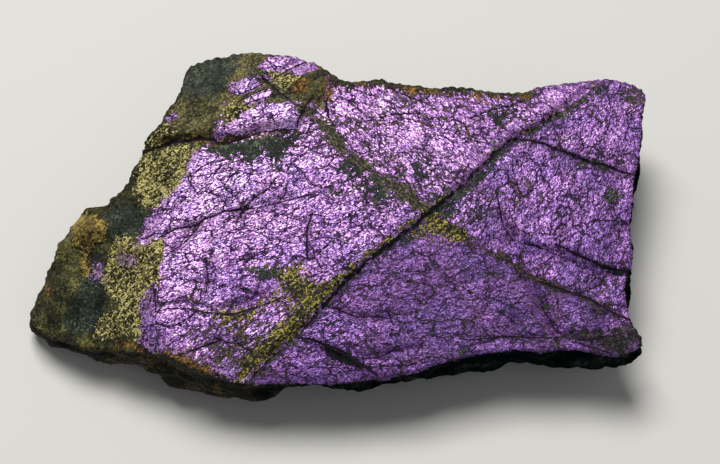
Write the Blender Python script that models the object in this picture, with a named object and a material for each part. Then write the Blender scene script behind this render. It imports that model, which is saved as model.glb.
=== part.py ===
# A purpurite hand specimen: one broken slab of ore that lies on its back.
# Its upper side is a violet cleavage face, crossed by two long veins and many fractures.
# A weathered rind of manganese and iron oxides wraps its left end and its broken sides.
# The frame is metres, +Z up, with the origin under the middle of the stone, on the surface it rests on.

import bmesh
import bpy
import numpy as np
from mathutils import Vector, noise
from mathutils.geometry import delaunay_2d_cdt

# Driving dimensions, in millimetres unless a comment says otherwise
MM = 0.001
FACE_HEIGHT = 18.4
FACE_SLOPE = 0.135
# Moves the finished stone so that the middle of its box stands over the origin
CENTRING = (0.13, 0.355)

# Spacing of the points: along the rim, over the face and along each fracture, and the gaps kept between them
RIM_STEP = 1.5
FACE_STEP = 1.62
CRACK_STEP = 1.6
FACE_CLEARANCE = 1.0
RIM_CLEARANCE = 0.9
CROSSING_CLEARANCE = 0.45
EDGE_CLEARANCE = 0.3
LONGEST_CRACK_LINK = 2.4
# Gap between the staggered rows of near-equal triangles, as a share of their step
ROW_GAP_SHARE = 0.866
SAME_POINT = 0.0001
WALL_ROWS = (0.0, 0.05, 0.12, 0.21, 0.3, 0.4, 0.5, 0.6, 0.7, 0.8, 0.9, 1.0)

# The rim of the broken slab in plan, anticlockwise from the front of its left end
RIM = [
    (-49.3, -13.8), (-47.9, -15.8), (-46.5, -16.9), (-44.0, -18.0), (-39.8, -19.4), (-34.5, -21.1),
    (-29.6, -22.4), (-24.8, -24.5), (-20.8, -26.0), (-17.2, -27.0), (-14.0, -27.6), (-9.0, -27.8),
    (-3.0, -27.6), (3.2, -27.3), (9.4, -26.4), (14.0, -25.4), (17.2, -24.3), (20.0, -23.3),
    (23.4, -22.6), (28.0, -22.4), (34.2, -22.5), (40.4, -22.9), (44.3, -23.3), (47.3, -22.0),
    (47.1, -19.8), (45.7, -17.9), (45.1, -14.7), (44.5, -12.6), (44.9, -11.4), (46.1, -9.2),
    (46.6, -5.0), (46.7, -0.4), (46.7, 1.8), (47.4, 6.3), (48.4, 10.8), (49.1, 14.2),
    (49.2, 16.5), (50.0, 19.4), (49.6, 21.4), (47.8, 22.7), (45.8, 23.4), (42.6, 23.5),
    (38.4, 22.5), (33.5, 22.3), (31.0, 21.4), (27.7, 21.2), (22.8, 21.4), (18.0, 21.9),
    (12.1, 21.9), (10.1, 22.8), (6.5, 23.2), (1.0, 22.8), (-1.7, 24.0), (-4.0, 25.9),
    (-6.3, 26.6), (-9.1, 27.1), (-14.9, 27.2), (-18.9, 26.6), (-23.0, 26.1), (-25.2, 24.9),
    (-25.9, 21.4), (-26.9, 18.2), (-28.7, 14.6), (-31.0, 12.4), (-32.3, 9.4), (-34.4, 6.0),
    (-36.1, 3.8), (-38.0, 2.2), (-40.4, 2.7), (-42.4, 2.6), (-43.1, 1.3), (-44.3, -0.4),
    (-46.1, -3.4), (-47.1, -6.5), (-48.5, -9.8), (-49.6, -12.0),
]

# The flat cleavage that the stone rests on, in plan: smaller than the rim, because the sides undercut
REST = [
    (-38.0, -9.0), (-30.0, -13.5), (-18.0, -15.5), (-4.0, -14.0), (10.0, -13.0), (24.0, -13.5),
    (36.0, -14.0), (40.5, -6.0), (41.0, 5.0), (40.0, 15.0), (28.0, 16.0), (12.0, 17.0),
    (-2.0, 18.5), (-14.0, 20.5), (-20.0, 17.0), (-25.0, 8.0), (-33.0, 0.0),
]

REST_STEP = 0.5
# How far the feet of the sides are spread evenly along that edge, from 0 to 1
FOOT_EVENNESS = 0.5

# The lip is the upper share of a side that stands upright before it turns under:
# (plan direction from the middle in degrees, share of the height)
LIP = [
    (-180, 0.40), (-150, 0.62), (-125, 0.50), (-100, 0.16), (-75, 0.12), (-55, 0.32), (-30, 0.40),
    (0, 0.50), (45, 0.55), (90, 0.55), (135, 0.50), (180, 0.40),
]
LIP_RELIEF = [(11.0, 0.3)]
TURN_CURVE = 1.35

# The two long veins run from rim to rim and part the face into four blocks
VEIN_RISING = [
    (-17.0, -31.0), (-12.5, -25.3), (-9.0, -22.0), (-4.7, -17.9), (1.5, -10.7), (5.8, -6.9),
    (9.6, -4.2), (14.4, -0.2), (19.0, 4.1), (22.2, 7.0), (25.9, 10.9), (28.2, 13.0),
    (33.0, 15.5), (35.7, 18.0), (40.4, 21.5), (44.0, 25.0),
]
VEIN_FALLING = [
    (-18.0, 29.0), (-11.3, 22.6), (-8.7, 20.1), (-3.1, 15.3), (1.8, 10.8), (7.0, 6.8),
    (14.4, -0.2), (18.8, -3.4), (25.2, -7.6), (34.2, -12.4), (37.6, -13.2), (49.0, -20.0),
]
VEIN_BLEND = 0.8
# Height of each block beside the face's plane: (left of the rising vein, left of the falling vein)
BLOCK_LIFT = {(True, True): 0.15, (True, False): 0.35, (False, True): -0.25, (False, False): -0.35}

# The cap is the raised upper left block, and this line is the foot of its ledge
CAP_EDGE = [
    (-38.0, 9.5), (-32.2, 10.9), (-29.4, 11.8), (-26.1, 12.8), (-24.3, 12.3), (-22.2, 13.0),
    (-19.9, 12.2), (-17.8, 12.2), (-15.2, 13.0), (-12.7, 14.3), (-8.8, 14.4), (-6.5, 15.0),
    (-5.2, 18.2), (-3.0, 21.0), (3.0, 26.0),
]
CAP_RISE = 1.5
CAP_LEDGE_WIDTH = 0.7
# Share of the ledge's length after which it runs out, and the share of its height that it loses there
CAP_RUNS_OUT = 0.75
CAP_RUN_OUT_LOSS = 0.5

# The left end, where the violet face gives way to the rind and the slab thins
RIND_EDGE = [
    (-12.0, 33.0), (-14.9, 28.1), (-16.7, 21.7), (-19.2, 15.5), (-23.1, 11.8), (-24.4, 8.5),
    (-27.9, 1.7), (-30.1, -3.9), (-30.4, -11.0), (-31.1, -17.7), (-30.6, -21.0), (-24.3, -24.2),
    (-17.1, -27.0), (-12.0, -33.0),
]
RIND_BLEND = (-0.4, 1.2)
RIND_DROP = 0.5
RIND_SLOPE_LEFT = 0.42
RIND_SLOPE_BACK = 0.25
RIND_HINGE = (-30.5, -12.0, 16.6)
FRONT_ROLL_SLOPE = 0.45
FRONT_ROLL = (-28.0, 13.4)

# Fractures: name: (plan points, half width, depth, lift of the left side, reach of that lift)
FRACTURES = {
    "vein_rising": (VEIN_RISING, 0.65, 0.9, 0.35, 2.5),
    "vein_falling": (VEIN_FALLING, 1.0, 0.3, 0.0, 1.0),
    "cap_foot": (CAP_EDGE[:12], 0.5, 0.7, 0.0, 1.0),
    "right_upper": ([(28.2, 13.4), (35.4, 10.9), (41.9, 8.2), (49.0, 6.6)], 0.4, 0.5, 0.2, 2.0),
    "right_notch": (
        [(25.3, 1.7), (26.5, -1.7), (30.0, -5.2), (37.3, -6.9), (42.0, -9.6), (46.8, -10.6)],
        0.6, 0.9, 0.5, 2.5,
    ),
    "right_arc": ([(37.8, -13.0), (40.7, -11.7), (42.0, -10.0)], 0.4, 0.4, 0.2, 1.5),
    "right_corner": ([(31.3, -10.9), (32.8, -17.7), (37.8, -21.0), (43.5, -22.8)], 0.4, 0.5, 0.2, 2.0),
    "right_front": ([(20.8, -20.5), (27.5, -20.5), (34.2, -19.8)], 0.35, 0.3, 0.3, 1.5),
    "left_long": (
        [(-29.6, -4.2), (-23.8, -2.2), (-19.6, -0.5), (-12.4, 1.7), (-4.9, 4.2)], 0.4, 0.5, 0.3, 2.5,
    ),
    "left_fork": ([(-27.5, -6.2), (-23.5, -3.1), (-21.8, -1.0)], 0.4, 0.5, 0.2, 1.5),
    "left_rise": ([(-16.5, -1.7), (-15.0, 1.0), (-11.0, 5.1)], 0.35, 0.4, 0.0, 1.0),
    "left_upright": ([(-19.9, -6.7), (-20.8, -10.7), (-21.3, -15.1)], 0.35, 0.4, -0.2, 1.5),
    "left_low": (
        [(-30.9, -15.8), (-23.9, -14.8), (-21.6, -16.0), (-15.8, -15.5), (-9.0, -12.0)],
        0.4, 0.5, 0.3, 2.0,
    ),
    "middle": ([(-4.6, -0.4), (-5.5, -4.9), (-5.0, -7.2)], 0.4, 0.5, 0.3, 2.0),
    "low_left": ([(-23.1, -23.4), (-18.1, -20.5), (-13.2, -22.4)], 0.35, 0.4, 0.2, 1.5),
    "low_middle": ([(1.1, -21.8), (3.6, -23.5), (9.0, -22.3), (14.4, -21.4)], 0.4, 0.4, 0.4, 2.0),
    "low_upper": ([(-2.1, -15.3), (2.5, -16.8), (7.9, -17.1)], 0.35, 0.3, 0.2, 2.0),
    "leaf_pit": ([(-7.0, -20.2), (-2.0, -21.9), (2.3, -24.3), (6.3, -26.9)], 0.45, 0.4, 1.1, 1.6),
    "cap_split": ([(-15.7, 20.6), (-11.0, 23.5), (-6.1, 26.3), (-3.0, 28.0)], 0.4, 0.5, 0.3, 2.0),
    "rind_channel": ([(-35.6, -0.6), (-36.4, -6.5), (-38.2, -10.7), (-40.9, -16.8)], 1.8, 0.9, 0.0, 1.0),
}
# Shares of a fracture's length, beyond its end and inside it, between which it opens to its full depth
CRACK_END = -0.02
CRACK_TAPER = 0.16

# Rounded lumps that stand up from the rind, and hollows in it: (x, y, radius, height)
LUMPS = [
    (-41.0, -2.0, 4.2, 1.9), (-45.2, -11.5, 4.0, 1.0), (-38.4, -15.6, 4.5, 0.9), (-33.6, -6.0, 3.4, 0.8),
    (-29.6, 7.5, 3.6, 0.9), (-27.0, 1.8, 2.2, -0.5), (-21.0, 19.5, 4.5, 0.6), (-6.2, 22.0, 2.6, 0.7),
]
LUMP_POINTEDNESS = 1.5

# Roughness of the broken surfaces: (grain size, height) pairs for the noise, then the chipped facets
FACE_RELIEF = [(13.0, 0.30), (4.5, 0.12)]
RIND_RELIEF = [(11.0, 1.0), (5.0, 0.6), (2.6, 0.3)]
FACE_CHIP_SIZE = 7.0
FACE_CHIP_TILT = 0.05
RIND_CHIP_SIZE = 8.0
RIND_CHIP_TILT = 0.13
WALL_CHIP_SIZE = 6.5
WALL_CHIP_TILT = 0.24
# The sides break along the bedding, so their chips are this many times wider than they are high
WALL_CHIP_FLATNESS = 2.3
WALL_CHIP_STEP = 1.1
WALL_LOOSENESS = 0.75
# How soon the sides grow rough below the rim and above the foot: nearer 0 is sooner
WALL_ROUGH_ONSET = 0.6
RIM_RELIEF = [(6.0, 0.45), (2.5, 0.25)]
# One number for each use of the noise, so that no two surfaces repeat each other
SEEDS = {
    "face": 1, "face_chips": 2, "rind": 3, "rind_chips": 4, "rim": 5, "wall": 6, "wall_chips": 7, "lip": 8,
}
GRAIN_SHIFT = (17.3, 5.1, 9.7)
CHIP_SHIFT = (3.7, 11.9, 7.3)
LEAN_SCATTER = 13.7
JUMP_SCATTER = 7.1

# Colour, roughness and metallic value of each mineral
VIOLET_CLEAVAGE = ((0.30, 0.13, 0.42, 1.0), 0.4, 0.3)
BROWN_RIND = ((0.055, 0.050, 0.030, 1.0), 0.8, 0.0)
SHARP_EDGE_ANGLE = 0.6


def smooth_share(value, low, high):
    """0 below low, 1 above high and a smooth rise between."""
    t = np.clip((value - low) / (high - low), 0.0, 1.0)
    return t * t * (3.0 - 2.0 * t)


def nearest_on(route, points):
    """For plan points: distance to the route, +1 left of its travel or -1 right, share of its length."""
    route = np.array(route, float)
    start, run = route[:-1], np.diff(route, axis=0)
    length = np.linalg.norm(run, axis=1)
    offset = points[:, None, :] - start
    share = np.clip((offset * run).sum(2) / length**2, 0.0, 1.0)
    gap = np.linalg.norm(offset - share[..., None] * run, axis=2)
    nearest = gap.argmin(1)
    row = np.arange(len(points))
    cross = run[nearest, 0] * offset[row, nearest, 1] - run[nearest, 1] * offset[row, nearest, 0]
    before = np.concatenate([[0.0], np.cumsum(length)])[nearest]
    place = (before + share[row, nearest] * length[nearest]) / length.sum()
    return gap[row, nearest], np.where(cross >= 0, 1.0, -1.0), place


def grain(points, bands, use):
    """Summed noise over 3-D points in millimetres: one band for each (size, height)."""
    shift = Vector(GRAIN_SHIFT) * SEEDS[use]
    total = np.zeros(len(points))
    for size, height in bands:
        total += [height * noise.noise(Vector(p) / size + shift) for p in points]
    return total


def chips(points, size, tilt, use, step=0.0):
    """Height of flat facets at random tilts and steps, as a fracture that jumps from cleavage to cleavage."""
    shift = Vector(CHIP_SHIFT) * SEEDS[use]
    middle = Vector((0.5, 0.5, 0.5))
    heights = []
    for p in points:
        place = Vector(p) / size + shift
        centre = noise.voronoi(place)[1][0]
        lean = noise.cell_vector(centre * LEAN_SCATTER) - middle
        jump = noise.cell_vector(centre * JUMP_SCATTER).x - 0.5
        heights.append((place - centre).dot(lean) * 2.0 * tilt * size + 2.0 * step * jump)
    return np.array(heights)


def lifted(points):
    """Plan points as 3-D points on the plane of the face, for the noise functions."""
    return np.column_stack([points, np.full(len(points), FACE_HEIGHT)])


def rind_share(points):
    """1 on the weathered left end, 0 on the violet face."""
    gap, side, _ = nearest_on(RIND_EDGE, points)
    return smooth_share(-gap * side, *RIND_BLEND)


def face_height(points):
    """Height of the upper side over plan points, in millimetres."""
    x, y = points.T
    height = FACE_HEIGHT + FACE_SLOPE * y
    gap_rising, side_rising, _ = nearest_on(VEIN_RISING, points)
    gap_falling, side_falling, _ = nearest_on(VEIN_FALLING, points)
    left_rising = smooth_share(gap_rising * side_rising, -VEIN_BLEND, VEIN_BLEND)
    left_falling = smooth_share(gap_falling * side_falling, -VEIN_BLEND, VEIN_BLEND)
    for (of_rising, of_falling), lift in BLOCK_LIFT.items():
        share_rising = left_rising if of_rising else 1.0 - left_rising
        share_falling = left_falling if of_falling else 1.0 - left_falling
        height += lift * share_rising * share_falling
    hinge_x, hinge_y, hinge_height = RIND_HINGE
    slope_left = hinge_height + RIND_SLOPE_LEFT * (x - hinge_x) + RIND_SLOPE_BACK * (y - hinge_y)
    roll_y, roll_height = FRONT_ROLL
    front_roll = roll_height + FRONT_ROLL_SLOPE * (y - roll_y)
    height = np.minimum(np.minimum(height, slope_left), front_roll)
    gap_cap, side_cap, place_cap = nearest_on(CAP_EDGE, points)
    on_cap = smooth_share(gap_cap * side_cap, -CAP_LEDGE_WIDTH / 2, CAP_LEDGE_WIDTH / 2)
    height += CAP_RISE * on_cap * (1.0 - CAP_RUN_OUT_LOSS * smooth_share(place_cap, CAP_RUNS_OUT, 1.0))
    rind = rind_share(points)
    height -= RIND_DROP * rind
    flat = lifted(points)
    smooth_face = grain(flat, FACE_RELIEF, "face") + chips(flat, FACE_CHIP_SIZE, FACE_CHIP_TILT, "face_chips")
    rough_rind = grain(flat, RIND_RELIEF, "rind") + chips(flat, RIND_CHIP_SIZE, RIND_CHIP_TILT, "rind_chips")
    height += (1.0 - rind) * smooth_face
    height += rind * rough_rind
    for lump_x, lump_y, radius, rise in LUMPS:
        share = np.clip(1.0 - ((x - lump_x) ** 2 + (y - lump_y) ** 2) / radius**2, 0.0, 1.0)
        height += rise * share**LUMP_POINTEDNESS
    for route, half_width, depth, lift, reach in FRACTURES.values():
        gap, side, place = nearest_on(route, points)
        ends = smooth_share(np.minimum(place, 1.0 - place), CRACK_END, CRACK_TAPER)
        height -= depth * ends * np.clip(1.0 - gap / half_width, 0.0, 1.0)
        raised = np.where(side * np.sign(lift) > 0, 0.0, 1.0)
        height -= abs(lift) * ends * raised * np.exp(-gap / reach)
    return height


def spaced(points, step, closed=False):
    """Points at an even step along straight runs through the given ones."""
    points = np.array(points + points[:1] if closed else points, float)
    length = np.concatenate([[0.0], np.cumsum(np.linalg.norm(np.diff(points, axis=0), axis=1))])
    count = max(2, round(length[-1] / step))
    at = np.linspace(0.0, length[-1], count, endpoint=not closed)
    return np.column_stack([np.interp(at, length, points[:, axis]) for axis in (0, 1)])


def left_of_travel(line, closed=False):
    """Unit vectors to the left of travel at each point of a plan line."""
    ahead = np.roll(line, -1, axis=0) - np.roll(line, 1, axis=0)
    if not closed:
        ahead[0], ahead[-1] = line[1] - line[0], line[-1] - line[-2]
    ahead /= np.linalg.norm(ahead, axis=1)[:, None]
    return np.column_stack([-ahead[:, 1], ahead[:, 0]])


def rim_line():
    """The rim at an even step, ragged as a break is, and its outward directions."""
    line = spaced(RIM, RIM_STEP, closed=True)
    outward = -left_of_travel(line, closed=True)
    ragged = grain(lifted(line), RIM_RELIEF, "rim")
    return line + outward * ragged[:, None], outward


def inside(points, ring):
    """Whether plan points lie inside a closed ring, by the crossings of a ray."""
    found = np.zeros(len(points), bool)
    for (x0, y0), (x1, y1) in zip(ring, np.roll(ring, -1, axis=0)):
        crosses = (y0 > points[:, 1]) != (y1 > points[:, 1])
        at = x0 + (points[:, 1] - y0) * (x1 - x0) / (y1 - y0 if y1 != y0 else 1.0)
        found ^= crosses & (points[:, 0] < at)
    return found


def clear_of(points, others, gap):
    """The points that keep the gap to every one of the others."""
    nearest = np.full(len(points), np.inf)
    for other in others:
        nearest = np.minimum(nearest, np.linalg.norm(points - other, axis=1))
    return points[nearest > gap]


def crack_lines(rim):
    """The middle line of each fracture inside the rim, and the points along both its edges."""
    middles, edges = [], []
    for route, half_width, *_ in FRACTURES.values():
        line = spaced(route, CRACK_STEP)
        line = line[inside(line, rim)]
        line = clear_of(line, rim, RIM_CLEARANCE)
        for earlier in middles:
            line = clear_of(line, earlier, CROSSING_CLEARANCE)
        if len(line) < 2:
            continue
        across = left_of_travel(line) * half_width
        middles.append(line)
        edges += [line + across, line - across]
    return middles, np.concatenate(edges)


def hexagonal_grid(low, high, step):
    """Plan points in staggered rows, which make near-equal triangles."""
    rows = np.arange(low[1], high[1], step * ROW_GAP_SHARE)
    points = [
        (x + (0.5 * step if number % 2 else 0.0), y)
        for number, y in enumerate(rows)
        for x in np.arange(low[0], high[0], step)
    ]
    return np.array(points)


def face_mesh(rim):
    """Plan points and triangles of the upper side, with edges along the rim and the fractures."""
    middles, edges = crack_lines(rim)
    edges = clear_of(edges[inside(edges, rim)], np.concatenate([rim, *middles]), EDGE_CLEARANCE)
    fixed = np.concatenate([rim, *middles, edges])
    free = hexagonal_grid(rim.min(0), rim.max(0), FACE_STEP)
    free = clear_of(free[inside(free, rim)], fixed, FACE_CLEARANCE)
    links = [(i, (i + 1) % len(rim)) for i in range(len(rim))]
    first = len(rim)
    for line in middles:
        links += [
            (first + i, first + i + 1)
            for i in range(len(line) - 1)
            if np.linalg.norm(line[i + 1] - line[i]) < LONGEST_CRACK_LINK
        ]
        first += len(line)
    points = [Vector(p) for p in np.concatenate([fixed, free])]
    found, _, triangles, *_ = delaunay_2d_cdt(points, links, [], 0, SAME_POINT, False)
    plan = np.array([tuple(p) for p in found])
    kept = inside(plan[np.array(triangles)].mean(1), rim)
    return plan, [corners for corners, keep in zip(triangles, kept) if keep]


def foot_line(rim):
    """A foot on the edge of the resting face for each rim point, in order and never bunched."""
    ring = spaced(REST, REST_STEP, closed=True)
    around = np.unwrap(np.arctan2(ring[:, 1], ring[:, 0]))
    share = np.arange(len(ring)) / len(ring)
    # Two turns of the table, because the rim starts and ends at another bearing than the ring does.
    table = np.concatenate([around, around + 2.0 * np.pi])
    shares = np.concatenate([share, share + 1.0])
    bearing = np.maximum.accumulate(np.unwrap(np.arctan2(rim[:, 1], rim[:, 0])))
    facing = np.interp(bearing, table, shares)
    even = facing[0] + np.arange(len(rim)) / len(rim)
    at = (FOOT_EVENNESS * even + (1.0 - FOOT_EVENNESS) * facing) % 1.0
    return np.column_stack([np.interp(at, share, ring[:, axis], period=1.0) for axis in (0, 1)])


def wall_rows(rim, outward, rim_height):
    """Rings of 3-D points from the rim down the broken sides to the resting face."""
    bearing = np.degrees(np.arctan2(rim[:, 1], rim[:, 0]))
    lip = np.interp(bearing, *np.array(LIP).T) + grain(lifted(rim), LIP_RELIEF, "lip")
    foot = foot_line(rim)
    rows = []
    for drop in WALL_ROWS:
        turned = np.clip((drop - lip) / (1.0 - lip), 0.0, 1.0) ** TURN_CURVE
        plan = rim + (foot - rim) * turned[:, None]
        ring = np.column_stack([plan, rim_height * (1.0 - drop)])
        loose = np.sin(np.pi * drop) ** WALL_ROUGH_ONSET if 0.0 < drop < 1.0 else 0.0
        if loose:
            bedded = ring * (1.0, 1.0, WALL_CHIP_FLATNESS)
            push = grain(ring, RIND_RELIEF, "wall")
            push += chips(bedded, WALL_CHIP_SIZE, WALL_CHIP_TILT, "wall_chips", WALL_CHIP_STEP)
            ring[:, :2] += outward * (WALL_LOOSENESS * loose * push)[:, None]
        rows.append(ring)
    return rows


def stone_mesh():
    """One closed mesh: the upper side, rings of faces down the sides, and the flat resting face."""
    rim, outward = rim_line()
    plan, triangles = face_mesh(rim)
    height = face_height(plan)
    # The triangulation keeps the rim's points first and in their order.
    rows = wall_rows(rim, outward, height[: len(rim)])
    shape = bmesh.new()
    top = [shape.verts.new((x * MM, y * MM, z * MM)) for (x, y), z in zip(plan, height)]
    for corners in triangles:
        shape.faces.new([top[i] for i in corners])
    upper = top[: len(rim)]
    for ring in rows[1:]:
        lower = [shape.verts.new(Vector(p) * MM) for p in ring]
        for i, vertex in enumerate(upper):
            after = (i + 1) % len(upper)
            side = shape.faces.new((vertex, lower[i], lower[after], upper[after]))
            side.material_index = 1
        upper = lower
    base = shape.faces.new(upper[::-1])
    base.material_index = 1
    bmesh.ops.translate(shape, verts=shape.verts[:], vec=Vector((*CENTRING, 0.0)) * MM)
    bmesh.ops.triangulate(shape, faces=shape.faces[:], quad_method="BEAUTY")
    bmesh.ops.recalc_face_normals(shape, faces=shape.faces[:])
    mesh = bpy.data.meshes.new("purpurite_stone")
    shape.to_mesh(mesh)
    shape.free()
    return mesh


def mineral(name, colour, roughness, metallic):
    material = bpy.data.materials.new(name)
    material.use_nodes = True
    surface = material.node_tree.nodes["Principled BSDF"]
    surface.inputs["Base Color"].default_value = colour
    surface.inputs["Roughness"].default_value = roughness
    surface.inputs["Metallic"].default_value = metallic
    return material


def main():
    for old in list(bpy.data.objects):
        bpy.data.objects.remove(old)
    mesh = stone_mesh()
    mesh.materials.append(mineral("purpurite_cleavage", *VIOLET_CLEAVAGE))
    mesh.materials.append(mineral("oxide_rind", *BROWN_RIND))
    mesh.shade_smooth()
    mesh.set_sharp_from_angle(angle=SHARP_EDGE_ANGLE)
    stone = bpy.data.objects.new("purpurite_stone", mesh)
    bpy.context.scene.collection.objects.link(stone)


main()
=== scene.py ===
# A purpurite hand specimen: one broken slab of ore, violet on its cleavage face and dark with oxides
# elsewhere. The file follows the stone from its bare surface through each mineral to the light it is seen in.
import math

import bmesh
import bpy
import numpy as np
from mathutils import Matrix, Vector, kdtree, noise


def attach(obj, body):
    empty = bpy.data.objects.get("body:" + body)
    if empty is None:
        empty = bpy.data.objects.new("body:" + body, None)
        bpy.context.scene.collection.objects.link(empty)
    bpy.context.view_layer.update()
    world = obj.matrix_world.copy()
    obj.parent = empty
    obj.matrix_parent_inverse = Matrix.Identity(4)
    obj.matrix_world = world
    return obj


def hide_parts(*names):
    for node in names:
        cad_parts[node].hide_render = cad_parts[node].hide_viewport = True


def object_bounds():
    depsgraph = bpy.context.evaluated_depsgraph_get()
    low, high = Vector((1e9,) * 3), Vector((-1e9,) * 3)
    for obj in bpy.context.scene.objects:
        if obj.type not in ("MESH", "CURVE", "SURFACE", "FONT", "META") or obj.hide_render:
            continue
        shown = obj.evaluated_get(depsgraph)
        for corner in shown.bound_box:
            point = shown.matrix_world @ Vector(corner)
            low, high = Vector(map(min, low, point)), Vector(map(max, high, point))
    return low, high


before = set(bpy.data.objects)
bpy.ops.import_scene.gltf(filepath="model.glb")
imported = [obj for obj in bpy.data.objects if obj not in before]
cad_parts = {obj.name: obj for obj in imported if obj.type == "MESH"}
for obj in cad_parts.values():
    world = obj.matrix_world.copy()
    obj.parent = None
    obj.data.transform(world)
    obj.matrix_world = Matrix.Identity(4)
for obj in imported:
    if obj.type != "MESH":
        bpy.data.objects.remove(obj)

cad_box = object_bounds()

# The slab. The real thing is one block of manganese phosphate ore, broken out of a pegmatite. Its surface is
# the solid's own, cut finer until the flakes and the crumbly rind can stand up in it. Every place on it is
# given in plan, in millimetres from the middle of the layout of its veins.
MM = 0.001
LAYOUT_MIDDLE = (0.13, 0.355)
WELD = 0.001
REST_GRID = 1.1
SIDE_TILT = 0.45
FACE, SIDE, REST = 0, 1, 2
SOFTENING_ROUNDS = 4


def spread(start, may_join):
    """The faces reached from the first ones across shared edges, while each may join."""
    found, front = set(start), list(start)
    while front:
        for edge in front.pop().edges:
            for other in edge.link_faces:
                if other not in found and may_join(other):
                    found.add(other)
                    front.append(other)
    return found


def coarse_slab(solid):
    """The solid's surface with its faces marked as the violet face, the broken sides or the underside."""
    slab = bmesh.new()
    slab.from_mesh(solid.data)
    bmesh.ops.remove_doubles(slab, verts=slab.verts[:], dist=WELD * MM)
    resting = [f for f in slab.faces if f.normal.z < -0.99 and f.calc_center_median().z < 0.01 * MM]
    sides = spread(resting, lambda face: face.normal.z < SIDE_TILT)
    middle = min((f for f in slab.faces if f not in sides), key=lambda f: f.calc_center_median().xy.length)
    upper = spread([middle], lambda face: face not in sides)
    for face in slab.faces:
        face.material_index = FACE if face in upper else SIDE
    for face in resting:
        face.material_index = REST
    return slab


def cut_finer(slab):
    """Cuts the underside into a grid, the sides into thirds and the violet face into sixths of each edge."""
    low, high = cad_box
    for axis, across in ((0, Vector((1, 0, 0))), (1, Vector((0, 1, 0)))):
        for at in np.arange(low[axis], high[axis], REST_GRID * MM):
            under = [f for f in slab.faces if f.material_index == REST]
            near = set(under) | {e for f in under for e in f.edges} | {v for f in under for v in f.verts}
            bmesh.ops.bisect_plane(slab, geom=list(near), plane_co=across * at, plane_no=across)
    bmesh.ops.triangulate(slab, faces=slab.faces[:])
    for cuts, kinds in ((2, (FACE, SIDE)), (1, (FACE,))):
        edges = [e for e in slab.edges if any(f.material_index in kinds for f in e.link_faces)]
        bmesh.ops.subdivide_edges(slab, edges=edges, cuts=cuts)
    bmesh.ops.triangulate(slab, faces=slab.faces[:])
    mesh = bpy.data.meshes.new("purpurite_ore_surface")
    slab.to_mesh(mesh)
    slab.free()
    return mesh


def relaxed(points, edges, held, rounds):
    """The points drawn half way to the mean of their neighbours, a few times, apart from the held ones."""
    ends = np.concatenate([edges[:, 0], edges[:, 1]])
    others = np.concatenate([edges[:, 1], edges[:, 0]])
    degree = np.bincount(ends, minlength=len(points))[:, None]
    for _ in range(rounds):
        sums = [np.bincount(ends, points[others, axis], len(points)) for axis in range(3)]
        moved = 0.5 * points + 0.5 * np.column_stack(sums) / degree
        points = np.where(held[:, None], points, moved)
    return points


def smooth_share(value, low, high):
    """0 below low, 1 above high and a smooth rise between."""
    t = np.clip((value - low) / (high - low), 0.0, 1.0)
    return t * t * (3.0 - 2.0 * t)


surface = cut_finer(coarse_slab(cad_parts["purpurite_stone"]))
count = len(surface.vertices)
points = np.empty(count * 3)
surface.vertices.foreach_get("co", points)
points = points.reshape(-1, 3) / MM
edges = np.empty(len(surface.edges) * 2, np.int32)
surface.edges.foreach_get("vertices", edges)
edges = edges.reshape(-1, 2)
triangles = np.empty(len(surface.polygons) * 3, np.int32)
surface.polygons.foreach_get("vertices", triangles)
kind = np.empty(len(surface.polygons), np.int32)
surface.polygons.foreach_get("material_index", kind)
corners = triangles.reshape(-1, 3)
touches = {k: np.bincount(corners[kind == k].ravel(), minlength=count) > 0 for k in (FACE, SIDE, REST)}
surface.polygons.foreach_set("material_index", np.zeros(len(kind), np.int32))

points = relaxed(points, edges, touches[REST], SOFTENING_ROUNDS)
surface.vertices.foreach_set("co", (points * MM).ravel())
surface.update()
normals = np.empty(count * 3)
surface.vertices.foreach_get("normal", normals)
normals = normals.reshape(-1, 3)
plan = points[:, :2] - LAYOUT_MIDDLE

# How far each point is from the rim: above 0 on the violet face, below 0 down the broken sides
rim_points = points[touches[FACE] & touches[SIDE]]
rim_tree = kdtree.KDTree(len(rim_points))
for number, point in enumerate(rim_points):
    rim_tree.insert(point, number)
rim_tree.balance()
rim = np.array([rim_tree.find(point)[2] for point in points])
rim[~touches[FACE]] *= -1.0

# Worked out for each point on the way down: how far it stands proud, and what each mineral needs to know
relief = np.zeros(count)
known = {"rim": rim}

# Purpurite, bared by cleaving: an iron manganese phosphate whose fine parallel flakes give the face a satin,
# almost metallic violet sheen. The veins part it in four blocks, and its flakes lie another way in each.
# The violet's tones from dark to light; the lightest stand partly for painted glints off the flakes
COOL_VIOLET = ("#1E1228", "#462A62", "#774E9D", "#AD7DCE", "#E5C0F4")
WARM_VIOLET = ("#241228", "#4E2B62", "#7F529C", "#B982CC", "#EFC6F0")
TONE_STEPS = (0.10, 0.30, 0.50, 0.72, 1.0)
FLAKE_STRETCH = 1.7
FLAKE_SIZES = (1.4, 0.5, 0.14)
STEP_STRETCH = 2.2
BUMP_STRENGTH = 0.8
PATCH_SIZE = 5.0
WRINKLE_SIZE = 3.2
WRINKLE_WIDTH = 0.10
SHOULDER_SHADE_WIDTH = 0.9
SWELL_STEEPNESS = 0.15

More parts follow.
